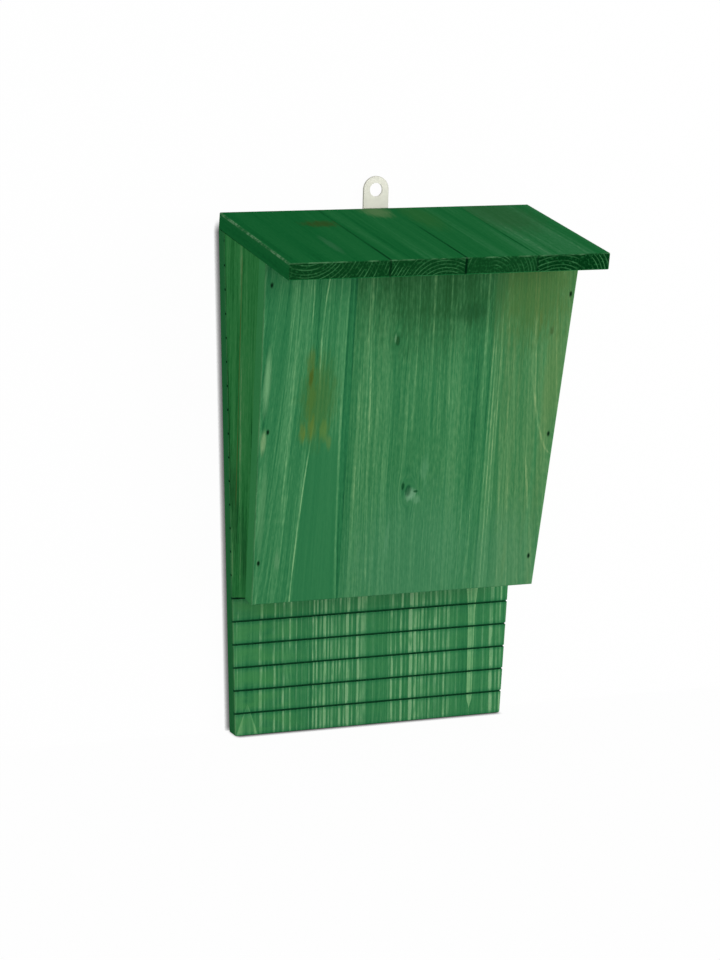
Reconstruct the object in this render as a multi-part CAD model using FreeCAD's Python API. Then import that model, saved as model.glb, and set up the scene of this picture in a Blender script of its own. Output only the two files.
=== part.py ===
import FreeCAD, Part
import os
from math import asin, atan, cos, floor, radians, sin, tan

# A wooden bat box that hangs on a wall.
# Every place is given by x from the middle, by depth forward from the wall
# and by height above the lowest edge of the back board.
# In the part's own frame x is to the right, the wall is the plane y = 0, the
# front looks along -y, and the origin is the middle of the hanging hole.

# Overall sizes
roof_width = 220.0
overall_depth = 125.0
wood_height = 349.0
body_bottom_width = 194.0
hanger_rise = 21.0

# Boards
roof_thickness = 11.0
back_thickness = 11.0
side_thickness = 11.0
front_thickness = 11.0
roof_slope = 7.7
arris = 0.5
foot_corner_radius = 1.2

# Front panel, leaning forward from its lower outer edge
front_bottom_depth = 46.7
front_bottom_height = 98.4
front_lean = 9.3

# Feet of the sides, which start below the panel's foot at the back board and
# rise towards the panel
side_foot_drop = 2.8
side_foot_slope = 12.0

# Glue joints between the staves, as x from the middle. The front panel was cut
# askew from its glued stock, so its joints lean, and x is at a distance up it
roof_joints = (-42.1, 9.5, 59.0)
back_joints = (-41.3, 10.0, 59.5)
front_joints = (-43.2, 52.8)
front_joint_angle = 1.5
front_joint_distance = 115.0

# Saw cuts across the back board, which the bats climb
groove_pitch = 15.8
lowest_groove_height = 15.5
groove_width = 1.3
groove_depth = 2.0
top_groove_margin = 12.0

# Nails. Those in front were driven by hand: the lowest is measured from the
# panel's foot, the middle one from halfway and the highest from the roof
nail_length = 30.0
nail_radius = 0.7
nail_head_radius = 1.0
nail_head_height = 0.6
nail_set = 0.4
nail_tip = 2.0
left_nail_distances = (29.0, 3.5, 14.0)
left_nail_insets = (3.8, 5.8, 4.4)
right_nail_distances = (21.0, -8.5, 27.0)
right_nail_insets = (5.4, 4.2, 3.4)
back_nail_count = 3
back_nail_margin = 30.0

# Hanging plate and its two screws
plate_width = 18.0
plate_thickness = 1.5
plate_edge_chamfer = 0.3
hanging_hole_radius = 4.5
screw_spacing = 14.0
upper_screw_drop = 8.0
screw_web = 0.5
screw_radius = 1.6
screw_head_radius = 3.2
screw_head_height = 2.0
screw_tip = 2.5
screw_clearance = 0.3

# Worked-out places. The roof is square cut, so its lower back arris meets the
# wall plane, and the screws stop short of the saw cuts
slope = radians(roof_slope)
lean = radians(front_lean)
plate_end_radius = plate_width / 2
plate_top = wood_height + hanger_rise
hole_height = plate_top - plate_end_radius
roof_back_depth = roof_thickness * sin(slope)
back_board_top = wood_height - roof_thickness * cos(slope)
upper_screw_height = back_board_top - upper_screw_drop
lower_screw_height = upper_screw_height - screw_spacing
screw_length = plate_thickness + back_thickness - groove_depth - screw_web
side_foot_height = front_bottom_height - side_foot_drop
beyond = 2 * (roof_width + wood_height)


def place(x, depth, height):
    """A point of the box in the part's own frame."""
    return FreeCAD.Vector(x, -depth, height - hole_height)


def half_width(height):
    """Half the width of the body, which grows to the roof's width under it."""
    growth = (roof_width - body_bottom_width) / back_board_top
    return (body_bottom_width + growth * height) / 2


def prism(points, sweep):
    """A solid swept from a closed polygon."""
    wire = Part.makePolygon(points + points[:1])
    return Part.Face(wire).extrude(sweep)


def section_prism(profile):
    """A section given in depth and height, swept past both sides of the box."""
    points = [place(-beyond, depth, height) for depth, height in profile]
    return prism(points, FreeCAD.Vector(2 * beyond, 0, 0))


def outline_prism(outline):
    """An outline given in x and height, swept from the wall to past the front."""
    points = [place(x, 0, height) for x, height in outline]
    return prism(points, FreeCAD.Vector(0, -beyond, 0))


def along_front(distance, inward=0.0):
    """Depth and height of a point up the front panel, square in from its face."""
    depth = front_bottom_depth + distance * sin(lean) - inward * cos(lean)
    height = front_bottom_height + distance * cos(lean) + inward * sin(lean)
    return depth, height


def along_roof(distance, down=0.0):
    """Depth and height of a point down the roof's slope, below its top face."""
    depth = roof_back_depth + distance * cos(slope) - down * sin(slope)
    height = wood_height - distance * sin(slope) - down * cos(slope)
    return depth, height


def underside_height(depth):
    """Height of the roof's underside at a depth."""
    return back_board_top - depth * tan(slope)


def front_length():
    """Length of the front panel's outer face, from its foot to the roof."""
    drop = underside_height(front_bottom_depth) - front_bottom_height
    return drop / (cos(lean) + sin(lean) * tan(slope))


def above_roof_underside():
    """All the space above the plane that the body's boards are cut to."""
    return section_prism([
        along_roof(-beyond, roof_thickness),
        along_roof(beyond, roof_thickness),
        along_roof(beyond, -beyond),
        along_roof(-beyond, -beyond),
    ])


def before_front_inner_face():
    """All the space in front of the plane that the sides are cut to."""
    return section_prism([
        along_front(-beyond, front_thickness),
        along_front(beyond, front_thickness),
        along_front(beyond, -beyond),
        along_front(-beyond, -beyond),
    ])


def body_envelope():
    """The tapering outline of the body, with its rounded lower corners."""
    top = 2 * wood_height
    solid = outline_prism([
        (-half_width(0), 0),
        (half_width(0), 0),
        (half_width(top), top),
        (-half_width(top), top),
    ])
    corners = [
        edge for edge in solid.Edges
        if all(abs(v.Z + hole_height) < 0.01 for v in edge.Vertexes)
        and edge.BoundBox.XLength < 0.01
    ]
    return solid.makeFillet(foot_corner_radius, corners)


def ease(solid, wanted):
    """The solid with its outer arrises eased where wanted() picks an edge."""
    edges = [edge for edge in solid.Edges if wanted(edge)]
    return solid.makeChamfer(arris, edges)


def split(board, joints, angle, middle_height):
    """The staves of a glued board, from left to right."""
    staves = []
    bounds = (-beyond,) + tuple(joints) + (beyond,)
    shift = tan(radians(angle)) * beyond
    for left, right in zip(bounds, bounds[1:]):
        slab = outline_prism([
            (left + shift, middle_height - beyond),
            (right + shift, middle_height - beyond),
            (right - shift, middle_height + beyond),
            (left - shift, middle_height + beyond),
        ])
        slab.translate(FreeCAD.Vector(0, beyond / 2, 0))
        staves.append(board.common(slab))
    return staves


def revolved(profile):
    """A solid turned about the z axis from a closed profile in the xz plane."""
    return Part.Face(Part.Wire(profile)).revolve(
        FreeCAD.Vector(0, 0, 0), FreeCAD.Vector(0, 0, 1), 360)


def aimed(solid, point, direction):
    """The solid moved to a point, with its +z turned along a direction."""
    turn = FreeCAD.Rotation(FreeCAD.Vector(0, 0, 1), direction)
    copy = solid.copy()
    copy.Placement = FreeCAD.Placement(point, turn)
    return copy


def lines(points):
    """Straight edges through points given as radius and distance."""
    vectors = [FreeCAD.Vector(radius, 0, z) for radius, z in points]
    return [Part.LineSegment(a, b).toShape() for a, b in zip(vectors, vectors[1:])]


def nail():
    """A nail that points along +z, with the top of its head at z = 0."""
    shank_end = nail_length - nail_tip
    return revolved(lines([
        (0, 0),
        (nail_head_radius, 0),
        (nail_head_radius, nail_head_height),
        (nail_radius, nail_head_height + nail_head_radius - nail_radius),
        (nail_radius, shank_end),
        (0, nail_length),
        (0, 0),
    ]))


def screw():
    """A screw that points along +z, with its domed head seated at z = 0."""
    dome_radius = (screw_head_radius ** 2 + screw_head_height ** 2) / (2 * screw_head_height)
    half_angle = asin(screw_head_radius / dome_radius) / 2
    crown = FreeCAD.Vector(0, 0, -screw_head_height)
    halfway = FreeCAD.Vector(
        dome_radius * sin(half_angle), 0, dome_radius * (1 - cos(half_angle)) - screw_head_height)
    rim = FreeCAD.Vector(screw_head_radius, 0, 0)
    dome = Part.Arc(crown, halfway, rim).toShape()
    body = lines([
        (screw_head_radius, 0),
        (screw_radius, 0),
        (screw_radius, screw_length - screw_tip),
        (0, screw_length),
        (0, -screw_head_height),
    ])
    return revolved([dome] + body)


def front_nail_places():
    """Head point of each front nail, sunk a little below the panel's face."""
    starts = (0, front_length() / 2, front_length())
    turns = (1, 1, -1)
    rows = (
        (-1, left_nail_distances, left_nail_insets),
        (1, right_nail_distances, right_nail_insets),
    )
    places = []
    for side, distances, insets in rows:
        for start, turn, distance, inset in zip(starts, turns, distances, insets):
            depth, height = along_front(start + turn * distance, nail_set)
            x = side * (half_width(height) - inset)
            places.append(place(x, depth, height))
    return places


def back_nail_places():
    """Head point of each back nail, between two saw cuts, in a side's middle."""
    low = side_foot_height + back_nail_margin
    high = back_board_top - back_nail_margin
    step = (high - low) / (back_nail_count - 1)
    places = []
    for side in (-1, 1):
        for number in range(back_nail_count):
            band = floor((low + number * step - lowest_groove_height) / groove_pitch)
            height = lowest_groove_height + (band + 0.5) * groove_pitch
            x = side * (half_width(height) - side_thickness / 2)
            places.append(place(x, nail_set, height))
    return places


def driven(places, direction):
    """Nails at their places, and the holes that they leave behind them."""
    nails = [aimed(nail(), point, direction) for point in places]
    pit = Part.makeCylinder(nail_head_radius, nail_head_height + 2 * nail_set)
    pit.translate(FreeCAD.Vector(0, 0, -2 * nail_set))
    holes = [aimed(pit, point, direction) for point in places]
    return nails, nails + holes


def groove_heights():
    """Middle height of each saw cut, from the lowest to the one under the roof."""
    highest = underside_height(back_thickness) - top_groove_margin
    count = floor((highest - lowest_groove_height) / groove_pitch) + 1
    return [lowest_groove_height + i * groove_pitch for i in range(count)]


def grooves():
    """The saw cuts, as the kerfs that are taken out of the back board."""
    kerfs = []
    for height in groove_heights():
        low = height - groove_width / 2
        high = height + groove_width / 2
        kerfs.append(section_prism([
            (back_thickness - groove_depth, low),
            (back_thickness + groove_depth, low),
            (back_thickness + groove_depth, high),
            (back_thickness - groove_depth, high),
        ]))
    return kerfs


def back_board(envelope, roof_space):
    """The tall board against the wall, eased round its outline."""
    board = section_prism([
        (0, 0),
        (back_thickness, 0),
        (back_thickness, wood_height),
        (0, wood_height),
    ]).common(envelope).cut(roof_space)
    foot = board.BoundBox.ZMin

    def wanted(edge):
        span = edge.BoundBox
        if span.ZLength < 0.01:
            return span.ZMax < foot + 0.01 and span.XLength > arris
        return span.YLength < span.ZLength
    return ease(board, wanted)


def front_panel(envelope, roof_space):
    """The leaning front, cut to the underside of the roof."""
    reach = wood_height
    board = section_prism([
        along_front(0),
        along_front(0, front_thickness),
        along_front(reach, front_thickness),
        along_front(reach),
    ]).common(envelope).cut(roof_space)
    outer_foot = along_front(0)

    def wanted(edge):
        middle = edge.CenterOfMass
        at_foot = abs(middle.z + hole_height - outer_foot[1]) < 0.01
        if edge.BoundBox.ZLength < 0.01:
            return at_foot and edge.BoundBox.XLength > arris
        depth, height = -middle.y, middle.z + hole_height
        face_depth = outer_foot[0] + (height - outer_foot[1]) * tan(lean)
        return abs(depth - face_depth) < 0.01 and edge.BoundBox.ZLength > 1
    return ease(board, wanted)


def side_board(side, roof_space, front_space):
    """A side that stands on the back board's face, behind the front panel."""
    top = 2 * wood_height
    shift = side_thickness / cos(atan(half_width(1) - half_width(0)))
    slab = outline_prism([
        (side * half_width(0), 0),
        (side * half_width(top), top),
        (side * (half_width(top) - shift), top),
        (side * (half_width(0) - shift), 0),
    ])
    rise = (overall_depth - back_thickness) * tan(radians(side_foot_slope))
    board = section_prism([
        (back_thickness, side_foot_height),
        (overall_depth, side_foot_height + rise),
        (overall_depth, wood_height),
        (back_thickness, wood_height),
    ])
    return board.common(slab).cut(roof_space).cut(front_space)


def roof_board():
    """The sloping roof, square cut, eased along its upper and front arrises."""
    length = (overall_depth - roof_back_depth) / cos(slope)
    corners = [
        along_roof(0),
        along_roof(length),
        along_roof(length, roof_thickness),
        along_roof(0, roof_thickness),
    ]
    points = [place(-roof_width / 2, depth, height) for depth, height in corners]
    board = prism(points, FreeCAD.Vector(roof_width, 0, 0))
    return ease(board, lambda edge: True)


def hanging_plate():
    """A flat strip with round ends, the hanging hole and two screw holes."""
    middle = place(0, 0, hole_height)
    low = place(0, 0, lower_screw_height)
    across = FreeCAD.Vector(plate_end_radius, 0, 0)
    up = FreeCAD.Vector(0, 0, plate_end_radius)
    outline = Part.Wire([
        Part.Arc(middle + across, middle + up, middle - across).toShape(),
        Part.LineSegment(middle - across, low - across).toShape(),
        Part.Arc(low - across, low - up, low + across).toShape(),
        Part.LineSegment(low + across, middle + across).toShape(),
    ])
    back = FreeCAD.Vector(0, 1, 0)
    plate = Part.Face(outline).extrude(back * plate_thickness)
    rims = [edge for edge in plate.Edges if edge.BoundBox.YLength < 0.01]
    plate = plate.makeChamfer(plate_edge_chamfer, rims)
    plate = plate.cut(Part.makeCylinder(hanging_hole_radius, plate_thickness, middle, back))
    for point in screw_points():
        plate = plate.cut(Part.makeCylinder(
            screw_radius + screw_clearance, plate_thickness, point, back))
    return plate


def screw_points():
    """The middle of each screw on the wall side of the back board."""
    return [place(0, 0, lower_screw_height), place(0, 0, upper_screw_height)]


def save(name, solids):
    """Writes one sub-part, one solid or a group of like solids."""
    shape = solids[0] if len(solids) == 1 else Part.makeCompound(solids)
    shape.exportStep("parts/" + name + ".step")
    volume = sum(solid.Volume for solid in solids)
    print(name, len(solids), "solids", round(volume, 1), "mm3")


def cut_all(board, tools):
    """The board with every tool that touches it cut away."""
    near = [tool for tool in tools if tool.BoundBox.intersect(board.BoundBox)]
    return board.cut(near) if near else board


def whole(shape):
    """The one solid that a cut or a common part leaves."""
    solids = shape.Solids
    if len(solids) != 1:
        raise ValueError("a board came out in %d pieces" % len(solids))
    return solids[0]


def main():
    os.makedirs("parts", exist_ok=True)
    envelope = body_envelope()
    roof_space = above_roof_underside()
    front_space = before_front_inner_face()

    inward = FreeCAD.Vector(0, cos(lean), sin(lean))
    forward = FreeCAD.Vector(0, -1, 0)
    front_nails, front_holes = driven(front_nail_places(), inward)
    back_nails, back_holes = driven(back_nail_places(), forward)
    head_seat = FreeCAD.Vector(0, plate_thickness, 0)
    screws = [aimed(screw(), point + head_seat, forward) for point in screw_points()]

    back = back_board(envelope, roof_space)
    front = front_panel(envelope, roof_space)
    kerfs = grooves()
    middle = wood_height / 2
    front_middle = along_front(front_joint_distance)[1]

    staved = (
        ("back_stave_", back, back_joints, 0, middle, kerfs + back_holes + screws),
        ("front_stave_", front, front_joints, front_joint_angle, front_middle, front_holes),
        ("roof_stave_", roof_board(), roof_joints, 0, middle, []),
    )
    for name, board, joints, angle, height, holes in staved:
        for number, stave in enumerate(split(board, joints, angle, height), 1):
            save(name + str(number), [whole(cut_all(stave, holes))])

    for name, side in (("left_side", -1), ("right_side", 1)):
        board = side_board(side, roof_space, front_space)
        save(name, [whole(cut_all(board, front_holes + back_holes))])

    save("hanging_plate", [hanging_plate()])
    save("hanging_screws", screws)
    save("front_nails", front_nails)
    save("back_nails", back_nails)


main()
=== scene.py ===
"""Looks of a wall-hung wooden bat box: stained boards, steel fittings, stage and camera."""

import math
from collections import namedtuple
from functools import cached_property
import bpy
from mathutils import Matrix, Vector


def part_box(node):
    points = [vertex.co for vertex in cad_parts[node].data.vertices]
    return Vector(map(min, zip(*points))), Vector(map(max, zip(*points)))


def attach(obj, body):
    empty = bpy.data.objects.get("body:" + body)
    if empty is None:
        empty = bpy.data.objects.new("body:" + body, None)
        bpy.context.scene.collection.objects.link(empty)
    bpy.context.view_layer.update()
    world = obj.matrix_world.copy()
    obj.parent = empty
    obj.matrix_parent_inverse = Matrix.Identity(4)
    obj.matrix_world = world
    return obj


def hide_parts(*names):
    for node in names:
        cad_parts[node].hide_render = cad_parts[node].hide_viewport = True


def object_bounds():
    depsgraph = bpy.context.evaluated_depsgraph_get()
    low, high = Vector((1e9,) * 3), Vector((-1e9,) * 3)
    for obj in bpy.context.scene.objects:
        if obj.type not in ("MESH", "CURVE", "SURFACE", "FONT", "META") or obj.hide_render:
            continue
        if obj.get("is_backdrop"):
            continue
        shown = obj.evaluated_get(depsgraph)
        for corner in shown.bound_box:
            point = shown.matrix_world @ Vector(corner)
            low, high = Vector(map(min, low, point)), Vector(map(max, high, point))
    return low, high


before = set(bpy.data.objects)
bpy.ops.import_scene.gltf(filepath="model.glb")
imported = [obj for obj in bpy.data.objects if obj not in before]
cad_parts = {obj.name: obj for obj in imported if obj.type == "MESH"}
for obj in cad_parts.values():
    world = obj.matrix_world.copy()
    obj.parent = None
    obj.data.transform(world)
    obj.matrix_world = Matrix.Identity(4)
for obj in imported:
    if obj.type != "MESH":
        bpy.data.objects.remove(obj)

from inspect import signature

import bpy
import numpy as np
from bpy.props import FloatProperty, FloatVectorProperty, IntProperty, PointerProperty
from mathutils import Matrix, Vector

bl_info = {
    "name": "Wooden Bat Box",
    "version": (1, 0, 0),
    "blender": (4, 5, 0),
    "location": "3D View > Sidebar > Bat Box",
    "description": "Stains the boards, dresses the steel fittings and sets the stage",
    "category": "Object",
}

CAD_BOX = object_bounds()
FOOT = CAD_BOX[0].z
MM = 0.001

# What sets each board's origin and its turn about x or z, in metres and radians
FRONT_FOOT_DEPTH = 0.0467
FRONT_FOOT_HEIGHT = 0.0984
BOARD = 0.011
FRONT_LEAN = math.radians(9.3)
ROOF_SLOPE = math.radians(7.7)

# Places on a board are in millimetres: across it, into the wood from its face, and
# along its grain. The body's half width grows from the foot by a share of the height
GROOVE_PITCH = 15.8
LOWEST_GROOVE = 15.5
GROOVE_DEPTH = 2.0
ROOF_LENGTH = 124.6
HALF_ROOF = 110.0
HALF_FOOT = 97.0
HALF_GROWTH = 0.03845
BEYOND = 200.0

# How much of the bare colour the arrises show, and of the edge colour the sawn edges
WORN = 0.35
SAWN = 0.8

Grain = namedtuple("Grain", (
    "pith_across pith_depth ring taper lean fan rings bands streaks mottle fibres tone seed"))
Line = namedtuple("Line", "at lean bend half start end tone")
Spot = namedtuple("Spot", "across along half_width half_length ragged amount shade")

# Each board's Grain: pith across and deep, ring width, taper, the grain's lean along
# the board and the lean's growth for each millimetre across, then how strongly the
# rings, broad bands, streaks, mottling and fibres show, the middle tone and a seed
GRAINS = {
    "front_stave_1": (-190, 60, 4.1, 0.02, -0.203, -0.00302, 0.05, 0.42, 0.46, 0.3, 0.32, 0.49, 1),
    "front_stave_2": (-120, 45, 2.1, 0.02, -0.045, 0, 0.04, 0.3, 0.3, 0.34, 0.4, 0.5, 2),
    "front_stave_3": (190, 35, 2.3, 0.03, 0.147, -0.003, 0.05, 0.44, 0.3, 0.28, 0.3, 0.55, 3),
    "back_stave_1": (-130, 40, 3.3, 0.01, 0, 0, 0.16, 0.34, 0.36, 0.16, 0.24, 0.42, 4),
    "back_stave_2": (-70, 30, 2.7, 0.01, 0, 0, 0.18, 0.3, 0.36, 0.16, 0.26, 0.44, 5),
    "back_stave_3": (95, 35, 3, 0.01, 0, 0, 0.18, 0.3, 0.36, 0.16, 0.26, 0.44, 6),
    "back_stave_4": (160, 30, 3.4, 0.01, 0, 0, 0.14, 0.3, 0.34, 0.16, 0.26, 0.44, 7),
    "roof_stave_1": (-97, -14, 2.6, 0.01, 0, 0, 0.03, 0.34, 0.14, 0.14, 0.1, 0.32, 8),
    "roof_stave_2": (-6, 25, 2.3, 0.01, 0, 0, 0.04, 0.62, 0.2, 0.14, 0.1, 0.42, 9),
    "roof_stave_3": (29, 13.5, 2.5, 0.01, 0, 0, 0.04, 0.66, 0.2, 0.14, 0.1, 0.48, 10),
    "roof_stave_4": (74, 31, 2.7, 0.01, 0, 0, 0.04, 0.5, 0.2, 0.22, 0.12, 0.58, 11),
    "left_side": (120, 30, 3.2, 0.01, 0.11, 0, 0.16, 0.66, 0.46, 0.3, 0.22, 0.435, 12),
    "right_side": (-60, 30, 3, 0.01, 0.09, 0, 0.16, 0.7, 0.5, 0.3, 0.22, 0.46, 13),
}

# How wide and long the bands, streaks, mottling and fibres are
FIBRE_SIZES = ((9.0, 300.0), (2.0, 190.0), (1.5, 5.0), (0.8, 50.0))

# Each Line that stands out, a growth line or a band, where the place across is
# at + lean * along + bend * along^2
LINES = {
    "front_stave_1": (
        (-74.6, 0.014, 0.00032, 0.65, -5, 124, 0.5),
        (-23.1, -0.488, 0.00135, 0.65, 146, 232, 0.46),
        (-72.4, -0.044, 0.00047, 0.6, 50, 114, 0.24),
        (-42.4, -0.076, 0.00016, 0.8, -5, 235, 0.24),
        (-88.5, 0.063, -0.00022, 0.8, 60, 235, 0.22),
        (-91.2, 0.063, -0.00022, 3.4, 90, 235, 0.12),
        (-66.4, -0.041, 0, 0.6, 165, 235, 0.3),
        (-69, -0.041, 0, 2.2, 150, 235, 0.14),
        (-63.8, -0.034, 0, 1.2, 160, 235, -0.22),
        (-99.5, -0.03, 0, 1.8, 120, 235, -0.18),
        (-98.2, -0.03, -0.00014, 0.9, -5, 130, 0.16),
        (-84, 0.01, 0, 0.8, 10, 80, 0.2),
    ),
    "front_stave_2": (
        (-20.9, -0.065, 0.00001, 0.9, 10, 230, 0.26),
        (-27, -0.04, 0, 0.8, 60, 230, 0.16),
        (-33.5, -0.03, 0, 1.6, -5, 150, 0.16),
        (5.3, -0.036, 0, 0.9, 110, 230, 0.22),
        (17.2, -0.043, 0, 0.8, 120, 230, 0.2),
        (34, -0.065, 0, 0.8, 130, 230, 0.2),
        (49.5, 0.001, -0.00007, 1.1, 5, 225, 0.16),
        (43, -0.01, 0, 0.7, -5, 170, 0.12),
        (45.8, -0.012, 0, 2.6, 60, 205, -0.16),
    ),
    "front_stave_3": (
        (59, -0.03, 0, 0.55, -5, 230, 0.26),
        (61.6, -0.034, 0, 0.5, -5, 230, 0.24),
        (64, -0.036, 0, 0.55, -5, 190, 0.24),
        (57, -0.028, 0, 0.9, -5, 230, -0.22),
        (66.5, -0.042, 0, 0.5, -5, 230, 0.22),
        (74.6, -0.091, 0.00002, 0.9, -5, 230, 0.17),
        (81, -0.095, 0, 0.8, -5, 230, 0.12),
        (88.1, -0.117, 0, 0.9, 90, 230, 0.12),
        (99.5, -0.12, -0.0004, 1, -5, 112, 0.18),
        (103, -0.11, 0, 0.8, 120, 230, 0.14),
    ),
    "left_side": (
        (1.2, 0.128, 0, 0.5, 200, 330, -0.1),
        (11.6, 0, 0, 1.6, 155, 345, -0.34),
        (12.6, 0, 0, 2, 104, 158, 0.3),
        (22, 0.05, 0, 3, 90, 345, 0.22),
        (16, 0.08, 0, 2.2, 190, 345, 0.26),
        (27, 0.15, 0, 2.6, 180, 345, -0.26),
    ),
}

# Each Spot where the wood took the stain otherwise, with its share and its colour in
# thousandths
SPOTS = {
    "front_stave_1": (
        (-66, 139, 17, 40, 1, 0.6, (58, 155, 32)),
        (-73, 165, 4.2, 13, 0.9, 0.55, (90, 165, 30)),
        (-71, 140, 4.6, 22, 1.2, 0.5, (85, 165, 26)),
        (-72.3, 154.5, 2.3, 8.5, 0.6, 0.8, (72, 110, 12)),
        (-75.2, 117, 3, 10, 0.9, 0.65, (125, 200, 32)),
        (-69.3, 120, 3.2, 13, 0.9, 0.65, (125, 200, 32)),
        (-60.8, 118.5, 4.2, 10, 0.9, 0.6, (112, 225, 46)),
        (-56.5, 110, 2.6, 7, 0.9, 0.5, (130, 240, 60)),
        (-102.2, 152, 3.3, 28, 0.4, 0.9, (150, 360, 165)),
        (-101.6, 112, 2.6, 12, 0.7, 0.85, (205, 375, 170)),
        (-98.6, 66, 3.2, 46, 0.7, 0.5, (110, 300, 130)),
        (-85.5, 30, 2.6, 9, 1, 0.5, (120, 300, 140)),
    ),
    "front_stave_2": (
        (28, 199, 34, 22, 0.8, 0.28, (16, 95, 30)),
        (36, 194.5, 18, 9, 1, 0.55, (10, 66, 22)),
        (2, 195.5, 22, 6, 0.8, 0.26, (14, 85, 26)),
        (8, 230, 92, 82, 0.8, 0.7, (18, 90, 26)),
        (10, 18, 75, 80, 0.8, 0.36, (78, 252, 128)),
        (4.8, 70.6, 4.6, 6, 1, 0.9, (185, 390, 225)),
        (8.8, 66.5, 5, 4, 1.2, 0.5, (130, 330, 170)),
        (13, 88, 4, 13, 1.2, 0.4, (110, 310, 150)),
        (-1, 76.5, 1.7, 3.8, 0.9, 0.95, (6, 70, 22)),
        (8.4, 72.4, 2.4, 1.3, 0.6, 0.9, (8, 80, 26)),
        (-9, 40, 2.2, 16, 0.9, 0.45, (110, 300, 150)),
        (-16.2, 178.5, 0.9, 4.5, 0.6, 0.8, (130, 300, 150)),
    ),
    "front_stave_3": (
        (80, 212, 44, 56, 1, 0.55, (64, 140, 30)),
        (99, 146, 11, 58, 0.6, 0.34, (120, 230, 70)),
        (94.8, 179, 2.6, 4.4, 1, 0.55, (45, 75, 20)),
        (86, 188, 1.6, 12, 0.9, 0.3, (140, 180, 40)),
        (52, 212, 11, 60, 0.5, 0.55, (32, 130, 42)),
        (77.5, 20, 2.2, 24, 0.9, 0.25, (170, 290, 100)),
        (76, 12, 50, 64, 0.8, 0.32, (92, 262, 135)),
    ),
    "left_side": (
        (18, 160, 11, 52, 1.3, 0.5, (12, 70, 18)),
        (33, 130, 10, 36, 1.3, 0.34, (12, 80, 24)),
    ),
    "roof_stave_1": (
        (-54, -35, 17, 11, 1.3, 0.66, (50, 85, 16)),
        (-66.6, -86, 4.2, 28, 1, 0.4, (60, 210, 100)),
    ),
    "roof_stave_2": ((-4, -8, 13, 22, 0.8, 0.85, (120, 260, 100)),),
    "roof_stave_3": ((22, -24, 15, 46, 0.9, 0.5, (36, 170, 38)),),
    "roof_stave_4": ((78, -26, 34, 62, 0.9, 0.5, (38, 125, 42)),),
}

# Plain wood and a dark band between two growth lines of the left front stave: where
# each line starts, leans and bends, and how soft the edges are
CALM_STRIP = (-73.6, 0.014, 0.00032, -43.0, -0.076, 0.00016, 1.2)
DARK_STRIP = (-41.7, -0.076, 0.00016, -39.6, -0.002, -0.00011, 0.5)

# The brown Line of the sides beside the back board
BROWN_LINE = (1.2, 0.128, 0, 0.8, 160, 325, 0.6)

# Nail heads in the front panel, across and along it, and the half width, half length
# and ragged edge of the dark stain on each
FRONT_NAILS = {
    "front_stave_1": ((-104.2, 217), (-99, 119), (-98.3, 29)),
    "front_stave_3": ((105.5, 204), (100.5, 107.5), (95.8, 21)),
}
NAIL_PIT = (1.5, 2.8, 0.3)

# Pale growth lines of the landing board, as place across, half width and tone
LANDING_LINES = (
    (-96, 0.6, 0.34), (-79.2, 1.4, 0.66), (-76.2, 0.6, 0.3),
    (-69.7, 1, 0.56), (-66.5, 0.6, 0.3), (-63.2, 1, 0.6), (-58.2, 0.6, 0.66), (-53.6, 0.7, 0.42),
    (-50, 0.6, 0.26), (-45, 0.6, 0.36), (-41.7, 0.7, 0.84), (-39.3, 0.8, 0.74), (-36.4, 1.1, 0.54),
    (-33.4, 1.3, 0.58), (-30.6, 0.7, 0.44), (-28, 1.2, 0.6), (-25.2, 0.7, 0.4), (-22.8, 1, 0.58),
    (-19.6, 0.8, 0.44), (-17, 1.5, 0.76), (-13.6, 0.7, 0.36), (-9.4, 1.3, 0.96), (-5.6, 2.8, 0.34),
    (2, 0.8, 0.16), (13, 0.6, 0.26), (15.4, 1, 0.66), (18.6, 0.7, 0.36), (22.4, 1, 0.8),
    (25.4, 0.7, 0.36), (29.2, 1.7, 0.9), (32.6, 1.3, 0.72), (35.4, 0.6, 0.42), (37.9, 1.2, 0.6),
    (40.6, 0.7, 0.4), (43.2, 1, 0.62), (47.6, 1.4, 0.5), (50.6, 0.7, 0.3), (54, 1.1, 0.62),
    (57.2, 1.5, 0.4), (63.5, 0.9, 0.24), (83, 0.8, 0.26), (89.2, 1.8, 0.56), (93, 0.7, 0.3),
    (95.8, 0.8, 0.46),
)

# Glue joints across the roof and the back board, and the front panel's knots, each
# with its place across and along and its radius
ROOF_JOINTS = (-42.1, 9.5, 59.0)
BACK_JOINTS = (-41.3, 10.0, 59.5)
FRONT_KNOTS = ((-14.4, 176.6, 1.9), (2.8, 72.9, 2.6))

# How far the end grain of a roof stave goes from its hard colour to its soft one
SOFT_ENDS = {"roof_stave_3": 0.12, "roof_stave_4": -0.2}


class Value:
    """What a node puts out. Arithmetic on it adds the nodes that work it out."""

    def __init__(self, sheet, socket):
        self.sheet, self.socket = sheet, socket

    def __add__(self, other):
        return self.sheet.math("ADD", self, other)

    def __sub__(self, other):
        return self.sheet.math("SUBTRACT", self, other)

    def __rsub__(self, other):
        return self.sheet.math("SUBTRACT", other, self)

    def __mul__(self, other):
        return Product(self.sheet, self, other)

    def __truediv__(self, other):
        return self.sheet.math("DIVIDE", self, other)

    def __abs__(self):
        return self.sheet.math("ABSOLUTE", self)

    def rise(self, low, high):
        """Rises from 0 at low to 1 at high with soft ends."""
        node = self.sheet.add("MapRange", self, low, high, interpolation_type="SMOOTHSTEP")
        return self.sheet.value(node)

    def fall(self, low, high):
        """Falls from 1 at low to 0 at high with soft ends."""
        return 1 - self.rise(low, high)


class Product(Value):
    """Two factors, in one node with what is added to them, or in a node of their own."""

    def __init__(self, sheet, *factors):
        self.sheet, self.factors = sheet, factors

    def __add__(self, other):
        return self.sheet.math("MULTIPLY_ADD", *self.factors, other)

    @cached_property
    def socket(self):
        return self.sheet.math("MULTIPLY", *self.factors).socket


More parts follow.
